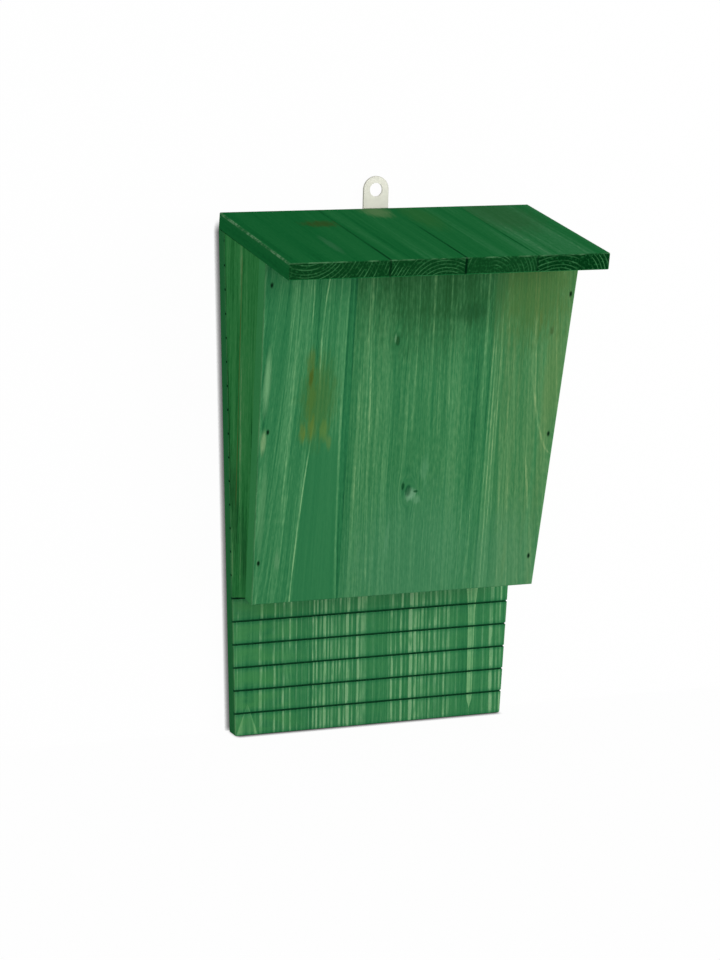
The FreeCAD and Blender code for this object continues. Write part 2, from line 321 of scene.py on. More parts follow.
class Sheet:
    """Adds and joins the nodes of one node tree, in plain calls."""

    def __init__(self, tree):
        self.tree = tree

    def add(self, kind, *sources, **settings):
        """A new node with its settings, whose first inputs are fed from the sources."""
        node = self.tree.nodes.new("ShaderNode" + kind)
        for name, value in settings.items():
            setattr(node, name, value)
        for source, socket in zip(sources, node.inputs):
            self.feed(source, socket)
        return node

    def feed(self, source, socket):
        """Joins a value to a socket, or sets the socket to a plain number or colour."""
        if isinstance(source, Value):
            self.tree.links.new(source.socket, socket)
        else:
            socket.default_value = source

    def value(self, node, output=0):
        return Value(self, node.outputs[output])

    def math(self, operation, *values, clamp=False):
        return self.value(self.add("Math", *values, operation=operation, use_clamp=clamp))

    def hypotenuse(self, first, second):
        return self.math("SQRT", first * first + second * second)

    def parts(self, vector):
        """The vector's x, y and z."""
        return [Value(self, socket) for socket in self.add("SeparateXYZ", vector).outputs]

    def combine(self, x, y, z):
        return self.value(self.add("CombineXYZ", x, y, z))

    def stretch(self, vector, factors):
        return self.value(self.add("VectorMath", vector, factors, operation="MULTIPLY"))

    def coordinates(self, kind):
        return self.value(self.add("TexCoord"), kind)

    def noise(self, vector, detail=2):
        node = self.add("TexNoise", vector)
        node.inputs["Scale"].default_value = 1.0
        node.inputs["Detail"].default_value = detail
        return self.value(node, "Fac")

    def chance(self, number):
        """A number from 0 to 1 drawn for each whole number."""
        node = self.add("TexWhiteNoise", noise_dimensions="1D")
        self.feed(number, node.inputs["W"])
        return self.value(node, "Value")

    def mix(self, amount, first, second, blend="MIX"):
        """Lays the second colour over the first."""
        node = self.add("Mix", amount, data_type="RGBA", blend_type=blend)
        for source, socket in zip((first, second), node.inputs[6:8]):
            self.feed(source if isinstance(source, Value) else (*source, 1), socket)
        return self.value(node, 2)

    def ramp(self, value, stops):
        """A colour for each number, from stops of a place and a colour."""
        node = self.add("ValToRGB", value)
        elements = node.color_ramp.elements
        while len(elements) < len(stops):
            elements.new(1)
        for element, (place, colour) in zip(elements, stops):
            element.position = place
            element.color = (*colour, 1)
        return self.value(node)

    def use(self, name, *values):
        """Places a shared node group, and returns all that it puts out."""
        node = self.add("Group", *values, node_tree=shared_group(name))
        return [Value(self, socket) for socket in node.outputs]

    def mask(self, name, *values):
        """The first value that a shared node group puts out."""
        return self.use(name, *values)[0]


def rings_group(sheet, place, pith_across, pith_depth, ring_width, taper, seed):
    """Growth rings about a pith that lies along the grain, as masks of the late wood.

    The distance from the pith, bent by a slow noise, is counted in ring widths. The
    fraction left rises slowly and falls sharply, and each ring has its own strength.
    """
    across, depth, along = sheet.parts(place)
    slow = sheet.combine(across * 0.012 + seed, depth * 0.02, along * 0.007)
    bent = (sheet.noise(slow, 1) - 0.5) * 22 + across
    distance = sheet.hypotenuse(bent - pith_across, depth - pith_depth)
    count = (taper * along + distance) / ring_width
    count = sheet.noise(sheet.combine(count * 0.37, seed, 0), 1) * 2.2 + count
    phase = sheet.math("FRACT", count)
    strength = sheet.chance(sheet.math("FLOOR", count)) * 0.75 + 0.25
    shown = phase.fall(0.93, 1) * strength
    return phase.rise(0.42, 0.9) * shown, phase.rise(0.66, 0.88) * shown


def fibres_group(sheet, place, wide, long, seed):
    """Noise drawn out along the grain, from -0.5 to 0.5."""
    across, depth, along = sheet.parts(place)
    return sheet.noise(sheet.combine(across / wide + seed, depth / wide, along / long)) - 0.5


def line_group(sheet, place, at, lean, bend, half_width, start, end):
    """One growth line or band that curves gently along the grain, with soft ends."""
    across, _, along = sheet.parts(place)
    middle = (bend * along + lean) * along + at
    near = (abs(across - middle) / half_width).fall(0.5, 1)
    ends = (along - start).rise(-6, 8) * (end - along).rise(-6, 8)
    lively = sheet.noise(sheet.combine(at * 3.1, along * 0.028, 0), 1)
    return near * ends * (lively.rise(0.32, 0.6) * 0.5 + 0.5)


def strip_group(sheet, place, left, left_lean, left_bend, right, right_lean, right_bend, softness):
    """A band of the grain between two growth lines that curve gently, with soft edges."""
    across, _, along = sheet.parts(place)
    start = (left_bend * along + left_lean) * along + left
    end = (right_bend * along + right_lean) * along + right
    return ((across - start) / softness).rise(0, 1) * ((end - across) / softness).rise(0, 1)


def patch_group(sheet, place, at_across, at_along, half_width, half_length, ragged):
    """A soft oval spot with a ragged edge."""
    across, _, along = sheet.parts(place)
    off = sheet.hypotenuse((across - at_across) / half_width, (along - at_along) / half_length)
    rough = sheet.noise(sheet.stretch(place, (0.55, 0.55, 0.11)), 3)
    return ((rough - 0.5) * ragged + off).fall(0.25, 1)


def knot_group(sheet, place, at_across, at_along, radius):
    """The grain's flow round a knot, and the knot's heart.

    Fibres keep the stream function of a flow round a cylinder, so a place is shifted
    across by radius^2 / distance^2 of its offset, with the knot drawn out along.
    """
    across, _, along = sheet.parts(place)
    off_across = across - at_across
    off_along = (along - at_along) * 0.45
    square = off_across * off_across + off_along * off_along
    reach = radius * radius * 2.5
    share = reach / sheet.math("MAXIMUM", square, reach)
    heart = (sheet.math("SQRT", square) / radius).fall(0.35, 1)
    return off_across * share * -1, heart


def arris_group(sheet, place, half_width, growth, reach):
    """Wear along the long arrises, in short runs where the stain has rubbed off.

    The distance to an arris is the distance in from the board's edge, which leaves
    the middle by a growth along the grain, plus the depth below the face.
    """
    across, depth, along = sheet.parts(place)
    off = abs((growth * along + half_width) - abs(across)) + abs(depth)
    runs = sheet.noise(sheet.stretch(place, (0.02, 0.4, 0.055)), 4)
    worn = runs.rise(0.38, 0.56) * 0.65 + 0.35
    return (off / reach).fall(0.5, 1) * worn


def metal_group(sheet, place, size):
    """Cloudiness and fine scuffs of plated sheet, from 0 to 1."""
    scaled = sheet.add("VectorMath", place, operation="SCALE")
    sheet.feed(size, scaled.inputs["Scale"])
    scaled = sheet.value(scaled)
    return sheet.noise(scaled, 4), sheet.noise(sheet.stretch(scaled, (14, 1, 2)), 3)


# The shared node groups: the function that works each out, whose own inputs name the
# group's, and what it gives
GROUPS = {
    "growth_rings": (rings_group, "Line", "Fine line"),
    "fibres": (fibres_group, "Value"),
    "line": (line_group, "Mask"),
    "strip": (strip_group, "Mask"),
    "patch": (patch_group, "Mask"),
    "knot": (knot_group, "Shift", "Heart"),
    "worn_arris": (arris_group, "Mask"),
    "metal_bloom": (metal_group, "Cloud", "Scuff"),
}


def shared_group(name):
    """The shader node group of that name, which is built at its first use."""
    if name in bpy.data.node_groups:
        return bpy.data.node_groups[name]
    tree = bpy.data.node_groups.new(name, "ShaderNodeTree")
    formula, *gives = GROUPS[name]
    for label in list(signature(formula).parameters)[1:]:
        kind = "NodeSocketVector" if label == "place" else "NodeSocketFloat"
        label = label.replace("_", " ").capitalize()
        tree.interface.new_socket(label, in_out="INPUT", socket_type=kind)
    for label in gives:
        tree.interface.new_socket(label, in_out="OUTPUT", socket_type="NodeSocketFloat")
    sheet = Sheet(tree)
    taken = list(tree.nodes.new("NodeGroupInput").outputs)[:-1]
    made = formula(sheet, *[Value(sheet, socket) for socket in taken])
    given = tree.nodes.new("NodeGroupOutput").inputs
    for value, socket in zip([made] if isinstance(made, Value) else made, given):
        sheet.feed(value, socket)
    return tree


def setting(kind, **limits):
    """A maker of properties that a user can change, all of one kind."""
    def make(name, default, description):
        return kind(name=name, default=default, description=description, **limits)
    return make


colour = setting(FloatVectorProperty, size=3, min=0, max=1, subtype="COLOR")
share = setting(FloatProperty, min=0, max=1)
metres = setting(FloatProperty, unit="LENGTH")
angle = setting(FloatProperty, subtype="ANGLE")


class StainLooks(bpy.types.PropertyGroup):
    """Colours of the thin green stain, from where it lies thick to where it is thin."""

    # Deep also colours the inside of the back board's saw cuts, where it is partly painted shade
    deep: colour("Deep", (0.010, 0.095, 0.034), "Stain pooled in open grain")
    full: colour("Full", (0.022, 0.164, 0.058), "Stain on the early wood")
    plain: colour("Plain", (0.039, 0.203, 0.075), "The board's usual colour")
    thin: colour("Thin", (0.078, 0.272, 0.110), "Stain on the late wood")
    bare: colour("Bare", (0.195, 0.425, 0.190), "Wood that hardly took the stain")
    warm: FloatVectorProperty(
        name="Warm", description="Tint where yellow wood shows through",
        default=(1.6, 1, 0.96), size=3, min=0, max=4)
    edge: colour("Edge", (0.053, 0.315, 0.095), "Sawn long edges")
    pit: colour("Nail pits", (0.002, 0.018, 0.006), "Stain and rust at the nail heads")
    landing: colour("Landing lines", (0.210, 0.360, 0.225), "Pale lines of the landing board")
    smoke: colour("Smoke", (0.066, 0.270, 0.080), "Cloudy yellow-green areas")
    # The back board's edge colour is partly the sawn edge's stain and partly painted shade, darker
    # for side faces
    back_edge: colour("Back edge", (0.020, 0.175, 0.050), "Edges of the back board")
    roughness: share("Roughness", 0.62, "Roughness of the dry stain")


class RoofLooks(bpy.types.PropertyGroup):
    """Colours of the roof, which has a heavier coat."""

    deep: colour("Deep", (0.004, 0.066, 0.017), "Stain pooled in the joints")
    full: colour("Full", (0.009, 0.152, 0.038), "Heavy coat")
    plain: colour("Plain", (0.018, 0.180, 0.050), "The roof's usual colour")
    thin: colour("Thin", (0.042, 0.225, 0.082), "Thinner coat")
    bare: colour("Bare", (0.150, 0.350, 0.170), "Rubbed wood")
    end: colour("End grain", (0.003, 0.044, 0.010), "Stain soaked into the end grain")
    end_soft: colour("End grain, soft", (0.012, 0.096, 0.026), "Open end grain")
    end_line: colour("End rings", (0.054, 0.215, 0.078), "Late wood in the end grain")
    end_joint: colour("End joints", (0.001, 0.018, 0.005), "Joints in the end grain")
    roughness: share("Roughness", 0.55, "Roughness of the dry stain")


class SideLooks(bpy.types.PropertyGroup):
    """Colours of the two sides, where browner wood shows through."""

    deep: colour("Deep", (0.008, 0.095, 0.022), "Stain pooled in open grain")
    full: colour("Full", (0.024, 0.204, 0.049), "Stain on the early wood")
    plain: colour("Plain", (0.040, 0.264, 0.070), "The side's usual colour")
    thin: colour("Thin", (0.070, 0.310, 0.094), "Stain on the late wood")
    bare: colour("Bare", (0.200, 0.400, 0.170), "Wood that hardly took the stain")
    brown: colour("Brown", (0.130, 0.100, 0.020), "Brown line beside the back board")
    roughness: share("Roughness", 0.62, "Roughness of the dry stain")


class SteelLooks(bpy.types.PropertyGroup):
    """Colours of the metal fittings."""

    plate: colour("Plate", (0.64, 0.63, 0.55), "Pale zinc-plated sheet")
    screw: colour("Screw", (0.66, 0.65, 0.61), "Zinc-plated screw")
    nail: colour("Nail", (0.012, 0.018, 0.013), "Dark bare steel")


class ScrewSizes(bpy.types.PropertyGroup):
    """Shape of the two cross-recessed screws behind the back board."""

    head_height: metres("Head height", 0.002, "Height of the domed head")
    shank_radius: metres("Shank radius", 0.0016, "Outer radius of the thread")
    thread_pitch: metres("Thread pitch", 0.0013, "Rise of the thread in one turn")
    thread_depth: metres("Thread depth", 0.00035, "Depth of the thread")
    tip_length: metres("Tip length", 0.0025, "Length of the pointed end")
    recess_reach: metres("Recess reach", 0.0019, "Half length of the cross")
    recess_half_width: metres("Recess half width", 0.0004, "Half width of each slot")
    recess_depth: metres("Recess depth", 0.0013, "Depth of the cross")
    steps: IntProperty(
        name="Steps round", description="Faces round the screw", default=72, min=24, max=128)


class StageLooks(bpy.types.PropertyGroup):
    """Light and camera."""

    ambient: share("Ambient", 0.52, "Light from all round")
    key_power: FloatProperty(
        name="Key lamp", description="Power of the large soft lamp in front", default=47,
        unit="POWER")
    camera_place: FloatVectorProperty(
        name="Camera place", description="Where the camera stands", size=3,
        default=(-0.839202, -1.964328, 0.239043), subtype="TRANSLATION")
    camera_azimuth: angle(
        "Camera azimuth", math.radians(22.970), "Turn of the view about the upright axis")
    camera_drop: angle("Camera drop", math.radians(11.481), "Angle of the view below the horizon")
    camera_roll: angle("Camera roll", math.radians(1.365), "Turn of the view about itself")
    lens: FloatProperty(
        name="Lens", description="Focal length in millimetres", default=122.205, min=10)


def dress(material, *names):
    """Gives one material to CAD nodes, without touching their shapes."""
    for name in names:
        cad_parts[name].material_slots[0].material = material


def new_material(name):
    """A material with an empty Principled BSDF, as the shader and its sheet."""
    material = bpy.data.materials.new(name)
    material.use_nodes = True
    shader = material.node_tree.nodes["Principled BSDF"]
    return material, shader, Sheet(material.node_tree)


def finish(sheet, shader, tint, rough, relief, strength, distance):
    """Feeds a shader its colour and roughness, and the fine relief of the surface."""
    bump = sheet.add("Bump", strength, distance)
    sheet.feed(relief, bump.inputs["Height"])
    sheet.feed(tint, shader.inputs["Base Color"])
    sheet.feed(rough, shader.inputs["Roughness"])
    sheet.feed(sheet.value(bump), shader.inputs["Normal"])


def finish_wood(sheet, shader, tint, tone, looks):
    """A dry stain without gloss, whose thin places are rougher and stand proud."""
    finish(sheet, shader, tint, tone * 0.12 + (looks.roughness - 0.06), tone, 0.5, 0.0004)
    shader.inputs["Specular IOR Level"].default_value = 0.0


def board_place(sheet, origin, turn):
    """Millimetres on a board: across it, into it, and along its grain."""
    return sheet.value(sheet.add(
        "Mapping", sheet.coordinates("Object"), origin, turn, (MM, MM, MM),
        vector_type="TEXTURE"))


def facing(sheet, axis):
    """A mask of the faces that look along an axis of the body, either way."""
    return abs(sheet.parts(sheet.coordinates("Normal"))[axis]).rise(0.6, 0.9)


def stain_colour(sheet, tone, looks):
    """The stain's colour for a tone from 0, thick, to 1, hardly any."""
    return sheet.ramp(tone, (
        (0, looks.deep), (0.28, looks.full), (0.5, looks.plain),
        (0.74, looks.thin), (1, looks.bare)))


def grain_tone(sheet, place, name):
    """How thin the stain lies, from the rings, bands, streaks, fibres and named lines.

    The grain leans by an amount that grows across the board, so its lines fan out.
    """
    grain = Grain(*GRAINS[name])
    across, depth, along = sheet.parts(place)
    lean = across * grain.fan + grain.lean
    flow = sheet.combine(across - lean * along, depth, along)
    ring, fine_ring = sheet.use("growth_rings", flow, *grain[:4], grain.seed)
    tone = ring * grain.rings + grain.tone
    for number, (strength, (wide, long)) in enumerate(zip(grain[7:11], FIBRE_SIZES)):
        fibres = sheet.mask("fibres", flow, wide, long, 7.3 * grain.seed + 3 * number)
        tone = fibres * (1.6 * strength) + tone
    for line in map(Line._make, LINES.get(name, ())):
        tone = sheet.mask("line", place, *line[:6]) * line.tone + tone
    return tone, fine_ring


def spots(sheet, place, name):
    """The board's own spots, each as how much of it shows and its colour."""
    for spot in map(Spot._make, SPOTS.get(name, ())):
        amount = sheet.mask("patch", place, *spot[:5]) * spot.amount
        yield amount, [part / 1000 for part in spot.shade]


def spotted(sheet, place, name, tint, tone):
    """The colour with the board's own spots laid over it, the grain still showing.

    A pale spot takes the thinly stained lines first, and a dark one leaves them.
    """
    pale = tone * 0.9 + 0.55
    dark = tone * -1.5 + 1.75
    for amount, shade in spots(sheet, place, name):
        lively = dark if max(shade) < 0.1 else pale
        tint = sheet.mix(sheet.math("MULTIPLY", amount, lively, clamp=True), tint, shade)
    return tint


def flow_round_knots(sheet, place):
    """The place with its grain led round the front panel's knots, and their hearts."""
    across, depth, along = sheet.parts(place)
    hearts = []
    for knot in FRONT_KNOTS:
        shift, heart = sheet.use("knot", place, *knot)
        across = across + shift
        hearts.append(heart)
    return sheet.combine(across, depth, along), hearts


def looping_line(sheet, across, along):
    """A growth line that turns back to the edge, as a square root along the grain."""
    curl = sheet.math("SQRT", sheet.math("MAXIMUM", (along - 93) / 32, 0))
    middle = sheet.math("MAXIMUM", curl * -15.5 + 105, along * -0.03 + 88.5)
    return abs(across - middle).fall(0.3, 1.3) * along.rise(93, 95)


def front_material(name, looks):
    """A stave of the leaning front panel."""
    material, shader, sheet = new_material(name)
    origin = (0, -FRONT_FOOT_DEPTH, FOOT + FRONT_FOOT_HEIGHT)
    place = board_place(sheet, origin, (FRONT_LEAN, 0, 0))
    across, _, along = sheet.parts(place)
    flow, hearts = flow_round_knots(sheet, place) if name == "front_stave_2" else (place, ())
    tone, _ = grain_tone(sheet, flow, name)
    for heart in hearts:
        tone = heart * -0.60 + tone
    if name == "front_stave_1":
        calm = sheet.mask("strip", place, *CALM_STRIP) * along.fall(96, 134)
        tone = (0.34 - tone) * (calm * 0.72) + tone
        tone = sheet.mask("strip", place, *DARK_STRIP) * -0.34 + tone
    if name == "front_stave_3":
        tone = looping_line(sheet, across, along) * 0.17 + tone
    tint = stain_colour(sheet, tone, looks)
    if name != "front_stave_1":
        stripes = sheet.mask("fibres", place, 4.5, 400, 71)
        warm = (along * 0.09 + across).rise(62, 84)
        warm = warm * (along.rise(-20, 230) * 0.3 + 0.45) + 0.22
        tint = sheet.mix(warm * (stripes * 1.8 + 1), tint, looks.warm, "MULTIPLY")
    tint = spotted(sheet, place, name, tint, tone)
    half = HALF_FOOT + HALF_GROWTH * FRONT_FOOT_HEIGHT / MM
    wear = sheet.mask("worn_arris", place, half, HALF_GROWTH, 1.1)
    tint = sheet.mix(wear * WORN, tint, looks.bare)
    tint = sheet.mix(facing(sheet, 0) * SAWN, tint, looks.edge)
    for nail in FRONT_NAILS.get(name, ()):
        tint = sheet.mix(sheet.mask("patch", place, *nail, *NAIL_PIT), tint, looks.pit)
    finish_wood(sheet, shader, tint, tone, looks)
    return material


def landing_lines(sheet, place, number):
    """The pale growth lines of a stave's foot, which shift a little at each saw cut.

    With them come the distance from the middle of a band between two cuts, which is
    0.5 at a cut, and a mask of the wood near the face.
    """
    across, depth, along = sheet.parts(place)
    bands = (along - LOWEST_GROOVE) / GROOVE_PITCH
    band = sheet.math("FLOOR", bands)
    shifted = sheet.combine(across + (sheet.chance(band) - 0.5), depth, along)
    low, high = (-BEYOND, *BACK_JOINTS, BEYOND)[number - 1:number + 1]
    pale = 0.0
    for at, half, tone in LANDING_LINES:
        if low - 3 < at < high + 3:
            line = sheet.mask("line", shifted, at, -0.01, 0, half, -20, 130)
            pale = line * tone + pale
    within = abs(sheet.math("FRACT", bands) - 0.5)
    near_face = depth.fall(2.5, 4.5)
    lively = sheet.noise(sheet.combine(across * 0.30, band, along * 0.05))
    strength = lively.rise(0.22, 0.62) * (1.05 - within.rise(0.26, 0.5) * 0.55)
    return pale * (strength * near_face), within, near_face


def pale_flame(sheet, across, along):
    """A pale mark that narrows evenly upwards from the foot, brighter at its edges."""
    half = sheet.math("MAXIMUM", along * -0.36 + 7.8, 0.05)
    reach = abs(across + 88.6) / half
    return reach.fall(0.92, 1.1) * (reach.rise(0.6, 0.95) * 0.5 + 0.5)


def pale_wedge(sheet, across, along, near_face):
    """A pale mark that opens above the foot and widens upwards, brighter at its edges."""
    half = along.rise(70, 100) * 2 + (along * 0.012 + 1.8)
    half = sheet.math("MAXIMUM", half * along.rise(4, 13), 0.05)
    reach = abs(across - 73.4) / half
    wedge = sheet.math("SUBTRACT", near_face, reach.rise(0.85, 1.05), clamp=True)
    return wedge * (reach.rise(0.4, 0.9) * 0.3 + 0.7)


def back_material(name, looks):
    """A stave of the grooved back board, whose foot is the landing board."""
    material, shader, sheet = new_material(name)
    place = board_place(sheet, (0, -BOARD, FOOT), (0, 0, 0))
    across, depth, along = sheet.parts(place)
    tone, _ = grain_tone(sheet, place, name)
    pale, within, near_face = landing_lines(sheet, place, int(name[-1]))
    tone = within.rise(0.30, 0.49) * near_face * -0.20 + (tone + pale)
    # Painted light: the wood near the face is lightened above 82 mm, under the front panel's foot,
    # to lift the shade that falls there
    tone = along.rise(82, 96) * near_face * 0.10 + tone
    if name == "back_stave_1":
        tone = pale_flame(sheet, across, along) * near_face * 0.50 + tone
    if name == "back_stave_4":
        tone = pale_wedge(sheet, across, along, near_face) * 0.64 + tone
    tint = stain_colour(sheet, tone, looks)
    tint = sheet.mix(sheet.math("MULTIPLY", pale, 0.45, clamp=True), tint, looks.landing)
    smoke = sheet.mask("fibres", place, 17, 9, 91).rise(-0.26, 0.16)
    smoke = smoke * (across.fall(-78, -44) * 0.36 + 0.16)
    between = sheet.math("SUBTRACT", near_face, within.rise(0.18, 0.46), clamp=True)
    tint = sheet.mix(smoke * between, tint, looks.smoke)
    # The back board's side faces take a darker colour: partly the sawn edge's stain, partly
    # painted shade
    tint = sheet.mix(facing(sheet, 0) * SAWN, tint, looks.back_edge)
    # The inside of each saw cut takes the deep colour: partly pooled stain, partly painted shade
    # in the groove
    cut = depth.rise(0.1, 0.6) * within.rise(0.44, 0.46)
    cut = cut * depth.fall(GROOVE_DEPTH, GROOVE_DEPTH + 0.2)
    tint = sheet.mix(cut, tint, looks.deep)
    wear = sheet.mask("worn_arris", place, HALF_FOOT, HALF_GROWTH, 1)
    tint = sheet.mix(wear * WORN, tint, looks.bare)
    finish_wood(sheet, shader, tint, tone, looks)
    return material


def roof_ends(sheet, place, name, ring, joint, looks):
    """The colour of the roof's sawn front edge, with growth rings and soaked joints."""
    speckle = sheet.mask("fibres", place, 1.6, 60, 5)
    soak = sheet.mask("fibres", place, 13, 60, 25)
    shown = ring * soak.rise(-0.13, 0.09)
    arcs = sheet.math("MULTIPLY", shown, speckle * 1.2 + 0.9, clamp=True)
    part = SOFT_ENDS.get(name, 0)
    early = [hard + part * (soft - hard) for hard, soft in zip(looks.end, looks.end_soft)]
    ends = sheet.mix(arcs, early, looks.end_line)
    ends = sheet.mix(speckle.rise(-0.02, 0.24), ends, looks.end_soft, "LIGHTEN")
    return sheet.mix(joint, ends, looks.end_joint)


def roof_material(name, looks):
    """A stave of the roof, with its rings in the end grain."""
    material, shader, sheet = new_material(name)
    origin = (0, -BOARD * math.sin(ROOF_SLOPE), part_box("roof_stave_1")[1].z)
    place = board_place(sheet, origin, (ROOF_SLOPE - math.pi / 2, 0, 0))
    _, depth, along = sheet.parts(place)
    tone, ring = grain_tone(sheet, place, name)
    joint = 0.0
    for at in ROOF_JOINTS:
        joint = sheet.mask("line", place, at, 0, 0, 1.1, -BEYOND, BEYOND) + joint
    tone = joint * (along.rise(-110, -30) * 0.2 + -0.40) + tone
    tint = stain_colour(sheet, tone, looks)
    for amount, shade in spots(sheet, place, name):
        tint = sheet.mix(amount, tint, shade)
    ends = roof_ends(sheet, place, name, ring, joint, looks)
    tint = sheet.mix(facing(sheet, 1), tint, ends)
    chips = sheet.mask("fibres", place, 2, 3.2, 33).rise(-0.04, 0.10)
    wear = sheet.mask("worn_arris", place, HALF_ROOF, 0, 1.5) * (chips * 0.85 + 0.3)
    tint = sheet.mix(wear, tint, looks.bare)
    runs = sheet.noise(sheet.stretch(place, (0.13, 0.4, 0.02))).rise(0.4, 0.7)
    wear = (abs(depth) + abs(along + ROOF_LENGTH)).fall(0.3, 0.9) * runs
    tint = sheet.mix(wear * 0.5, tint, looks.bare)
    finish_wood(sheet, shader, tint, tone, looks)
    return material


def side_material(name, looks):
    """A side, whose width lies front to back."""
    material, shader, sheet = new_material(name)
    x = -0.1 if name == "left_side" else 0.1
    place = board_place(sheet, (x, 0, FOOT), (0, 0, -math.pi / 2))
    tone, _ = grain_tone(sheet, place, name)
    tint = spotted(sheet, place, name, stain_colour(sheet, tone, looks), tone)
    brown = Line(*BROWN_LINE)
    amount = sheet.mask("line", place, *brown[:6]) * brown.tone
    tint = sheet.mix(amount, tint, looks.brown)
    finish_wood(sheet, shader, tint, tone, looks)
    return material


def steel_material(name, shade, rough, metallic, cloud_size):
    """Plated or bare steel, clouded and scuffed a little."""
    material, shader, sheet = new_material(name)
    cloud, scuff = sheet.use("metal_bloom", sheet.coordinates("Object"), cloud_size)
    tint = sheet.mix(cloud, [0.8 * part for part in shade], shade)
    finish(sheet, shader, tint, scuff * 0.2 + (rough - 0.1), scuff, 0.15, 0.0001)
    shader.inputs["Metallic"].default_value = metallic
    return material


def revolved_shell(radius, height):
    """A closed shell from rows of radius and height round an axis, and its two poles.

    Row i, step j stands at angle 2 pi j / steps, at radius[i, j] from the axis and at
    height[i, j] along it. The first and last rows close on a pole at their mean height.
    """
    rows, steps = radius.shape
    around = 2 * np.pi * np.arange(steps) / steps
    ring = np.stack([radius * np.cos(around), radius * np.sin(around), height], -1).reshape(-1, 3)
    poles = [[0.0, 0.0, height[0].mean()], [0.0, 0.0, height[-1].mean()]]
    points = np.vstack([ring, poles])
    here = np.arange(rows * steps).reshape(rows, steps)
    after = np.roll(here, -1, 1)
    quads = np.stack([here[:-1], after[:-1], after[1:], here[1:]], -1).reshape(-1, 4)
    first = np.stack([after[0], here[0], np.full(steps, rows * steps)], -1)
    last = np.stack([here[-1], after[-1], np.full(steps, rows * steps + 1)], -1)
    return points, quads, np.vstack([first, last])


def screw_shell(sizes, head_radius, length):
    """A screw along +z, its head's top at z = 0.

    The head is a spherical cap with a cross sunk in it. Below the seat, the radius
    follows a thread: a triangle wave of height / pitch - angle / (2 pi). It narrows
    evenly to the tip.
    """
    steps = sizes.steps
    around = 2 * np.pi * np.arange(steps) / steps
    dome = (head_radius ** 2 + sizes.head_height ** 2) / (2 * sizes.head_height)
    head = np.linspace(0.03, 1.0, 30)[:, None] * head_radius * np.ones(steps)
    cap = dome - np.sqrt(dome ** 2 - head ** 2)
    x, y = np.abs(head * np.cos(around)), np.abs(head * np.sin(around))
    long_way, short_way = np.maximum(x, y), np.minimum(x, y)
    inside = np.clip((sizes.recess_half_width - short_way) / 0.00018 + 0.5, 0, 1)
    inside = inside * np.clip((sizes.recess_reach - long_way) / 0.0005 + 0.5, 0, 1)
    cap = cap + sizes.recess_depth * inside * (1 - 0.6 * long_way / sizes.recess_reach)
    seat = sizes.head_height
    under = np.array([0.9, 0.75, 0.6])[:, None] * head_radius * np.ones(steps)
    shank = np.linspace(seat + 0.0001, length, 66)[:, None] * np.ones(steps)
    turn = (shank - seat) / sizes.thread_pitch - around / (2 * np.pi)
    wave = np.abs(2 * (turn - np.floor(turn)) - 1)
    narrow = np.clip((length - shank) / sizes.tip_length, 0.04, 1)
    thread = (sizes.shank_radius - sizes.thread_depth * wave) * narrow
    radius = np.vstack([head, under, thread])
    height = np.vstack([cap, np.full((3, steps), seat), shank])
    return revolved_shell(radius, height)


def mesh_piece(name, shells, material):
    """One object from closed shells, riding on the body."""
    points, faces, start = [], [], 0
    for shell_points, quads, triangles in shells:
        faces += (quads + start).tolist() + (triangles + start).tolist()
        points.append(shell_points)
        start += len(shell_points)
    mesh = bpy.data.meshes.new(name)
    mesh.from_pydata(np.vstack(points).tolist(), [], faces)
    mesh.validate()
    piece = bpy.data.objects.new(name, mesh)
    bpy.context.scene.collection.objects.link(piece)
    mesh.materials.append(material)
    mesh.shade_smooth()
    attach(piece, "root")
    return piece


class BATBOX_OT_front(bpy.types.Operator):
    """Stain the staves of the leaning front panel."""

    bl_idname = "batbox.front"
    bl_label = "Front Panel"

    def execute(self, context):
        for name in ("front_stave_1", "front_stave_2", "front_stave_3"):
            dress(front_material(name, context.scene.batbox_stain), name)
        return {"FINISHED"}


class BATBOX_OT_back(bpy.types.Operator):
    """Stain the staves of the grooved back board."""

    bl_idname = "batbox.back"
    bl_label = "Back Board"

    def execute(self, context):
        for name in ("back_stave_1", "back_stave_2", "back_stave_3", "back_stave_4"):
            dress(back_material(name, context.scene.batbox_stain), name)
        return {"FINISHED"}


class BATBOX_OT_roof(bpy.types.Operator):
    """Stain the staves of the roof."""

    bl_idname = "batbox.roof"
    bl_label = "Roof"

    def execute(self, context):
        for name in ("roof_stave_1", "roof_stave_2", "roof_stave_3", "roof_stave_4"):
            dress(roof_material(name, context.scene.batbox_roof), name)
        return {"FINISHED"}


class BATBOX_OT_sides(bpy.types.Operator):
    """Stain the two sides."""

    bl_idname = "batbox.sides"
    bl_label = "Sides"

    def execute(self, context):
        for name in ("left_side", "right_side"):
            dress(side_material(name, context.scene.batbox_side), name)
        return {"FINISHED"}


class BATBOX_OT_plate(bpy.types.Operator):
    """Plate the hanging plate."""

    bl_idname = "batbox.plate"
    bl_label = "Hanging Plate"

    def execute(self, context):
        shade = context.scene.batbox_steel.plate
        dress(steel_material("plated_sheet", shade, 0.45, 0.5, 160.0), "hanging_plate")
        return {"FINISHED"}


class BATBOX_OT_nails(bpy.types.Operator):
    """Darken the nails, whose heads sit a little below the wood."""

    bl_idname = "batbox.nails"
    bl_label = "Nails"

    def execute(self, context):
        shade = context.scene.batbox_steel.nail
        dress(steel_material("nail", shade, 0.7, 1.0, 900.0), "front_nails", "back_nails")
        return {"FINISHED"}


